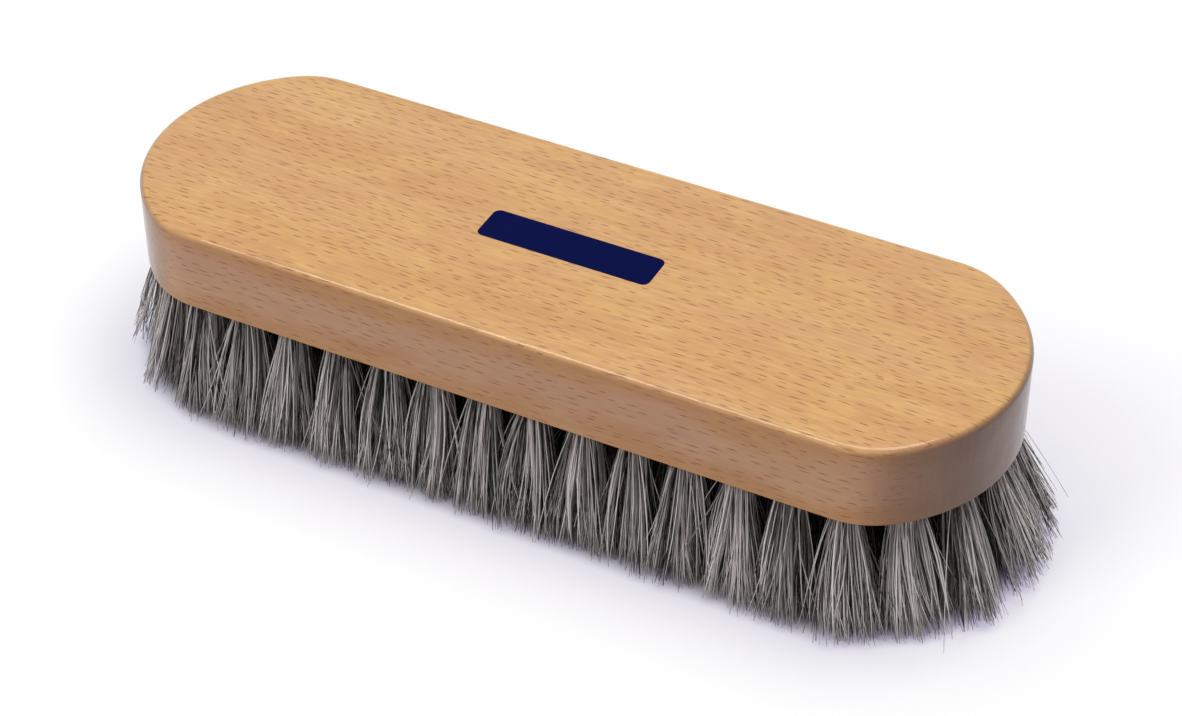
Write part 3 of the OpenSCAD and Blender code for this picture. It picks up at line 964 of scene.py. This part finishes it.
sheet = empty_material("white_paper_sheet")
sheet_place = add_node(sheet, "ShaderNodeTexCoord").outputs["Object"]
sheet_axes = add_node(sheet, "ShaderNodeSeparateXYZ", {0: sheet_place}).outputs
along_brush = add_node(sheet, "ShaderNodeMath", {0: sheet_axes[0]}, operation="ABSOLUTE").outputs[0]
past_end = add_node(sheet, "ShaderNodeMath", {
    0: along_brush, 1: STRAIGHT * MM}, operation="SUBTRACT").outputs[0]
past_end = add_node(sheet, "ShaderNodeMath", {0: past_end, 1: 0.0}, operation="MAXIMUM").outputs[0]
flat_place = add_node(sheet, "ShaderNodeCombineXYZ", {0: past_end, 1: sheet_axes[1]}).outputs[0]
away = add_node(sheet, "ShaderNodeVectorMath", {0: flat_place}, operation="LENGTH").outputs["Value"]
print("sheet:", 2 * SHEET * MM, "m wide")

# %% Light of the sheet's own, with a painted shadow
# Distances in mm for the painted shadow under the brush and in the halo round it, and for the far white.
PAINTED_SHADOW_UNDER_BRUSH = (28.5, 35.0)
PAINTED_SHADOW_HALO = (34.0, 60.0)
FAR_OFF = (90.0, 350.0)


def seen_rays(owner):
    """1 for rays of the camera and of mirror images, 0 for the light that bounces about."""
    rays = add_node(owner, "ShaderNodeLightPath").outputs
    seen = rays["Is Camera Ray"]
    for other in (rays["Is Glossy Ray"], rays["Is Transmission Ray"]):
        seen = add_node(owner, "ShaderNodeMath", {
            0: seen, 1: other}, operation="ADD", use_clamp=True).outputs[0]
    return seen


# Each of these is 0 up to its first distance and 1 from its second, and smooth between them.
past = {}
for name, (begins, ends) in {"brush": PAINTED_SHADOW_UNDER_BRUSH, "halo": PAINTED_SHADOW_HALO, "lamps": FAR_OFF}.items():
    past[name] = add_node(sheet, "ShaderNodeMapRange", {
        "Value": away, "From Min": begins * MM, "From Max": ends * MM},
        interpolation_type="SMOOTHSTEP").outputs[0]

# Painted shadow: the lit tone is a darker grey under the brush, and yellow-green outside so that the real
# shadow turns lilac.
lit_tone_with_painted_shadow = add_node(sheet, "ShaderNodeMix", {
    SHARE: past["brush"], COLOUR_A: linear("#9e9e9e"), COLOUR_B: linear("#d3dac0")},
    data_type="RGBA").outputs[COLOUR]
# Painted shadow: the sheet's own light is lilac and lower near the brush, and white far off.
own_light_with_painted_shadow = linear("#988eb3")
for name, farther in (("halo", "#a89ebe"), ("lamps", "#ffffff")):
    own_light_with_painted_shadow = add_node(sheet, "ShaderNodeMix", {
        SHARE: past[name], COLOUR_A: own_light_with_painted_shadow, COLOUR_B: linear(farther)},
        data_type="RGBA").outputs[COLOUR]
bounce = add_node(sheet, "ShaderNodeBsdfDiffuse", {"Color": linear("#cecece")})
lit = add_node(sheet, "ShaderNodeBsdfDiffuse", {"Color": lit_tone_with_painted_shadow})
own = add_node(sheet, "ShaderNodeEmission", {"Color": own_light_with_painted_shadow, "Strength": past["brush"]})
shown = add_node(sheet, "ShaderNodeAddShader", {0: lit.outputs[0], 1: own.outputs[0]})
sheet_shader = add_node(sheet, "ShaderNodeMixShader", {
    0: seen_rays(sheet), 1: bounce.outputs[0], 2: shown.outputs[0]})
add_node(sheet, "ShaderNodeOutputMaterial", {"Surface": sheet_shader.outputs[0]})
floor.data.materials.append(sheet)
print("halo:", PAINTED_SHADOW_HALO[1] - PAINTED_SHADOW_HALO[0], "mm wide")

# %% [markdown]
# ## The room and the lamps
# The soft light suggests a white tent, with one large lamp above and a smaller one at the
# front left. The room gives the even light from all sides. Its full white is for the camera
# and for mirror images alone, or it would drown the shadow. Each lamp's power is worked out
# from how bright it makes a white surface, so moving a lamp doesn't change the exposure.

# %% The white room
ROOM_LIGHT = 0.30

world = bpy.data.worlds.new("studio")
world.use_nodes = True
world.node_tree.nodes.clear()
room = add_node(world, "ShaderNodeBackground", {"Color": linear("#fcfdff"), "Strength": ROOM_LIGHT})
white = add_node(world, "ShaderNodeBackground", {"Color": linear("#ffffff"), "Strength": 1.0})
either = add_node(world, "ShaderNodeMixShader", {
    0: seen_rays(world), 1: room.outputs[0], 2: white.outputs[0]})
add_node(world, "ShaderNodeOutputWorld", {"Surface": either.outputs[0]})
bpy.context.scene.world = world
print("room light:", ROOM_LIGHT)

# %% Two soft lamps
def soft_lamp(name, at, size, share):
    """A square lamp that faces the brush; share is the part of a white's full light it gives.

    A lamp of P watts at distance d gives P / (pi d d) on a surface that faces it, and a
    white surface is at full level at pi, so P = share * pi * pi * d * d.
    """
    data = bpy.data.lights.new(name, "AREA")
    data.shape = "SQUARE"
    data.size = size
    lamp = bpy.data.objects.new(name, data)
    position = Vector(at)
    data.energy = share * math.pi * math.pi * position.length_squared
    lamp.location = position
    lamp.rotation_euler = (-position).to_track_quat("-Z", "Y").to_euler()
    bpy.context.scene.collection.objects.link(lamp)
    return data.energy


key_power = soft_lamp("key_softbox", at=(-0.45, -0.75, 0.95), size=0.44, share=0.27)
top_power = soft_lamp("top_softbox", at=(0.12, 0.1, 1.3), size=0.8, share=0.55)
bpy.context.scene.view_settings.view_transform = "Standard"
print("key", round(key_power, 1), "W, top", round(top_power, 1), "W")
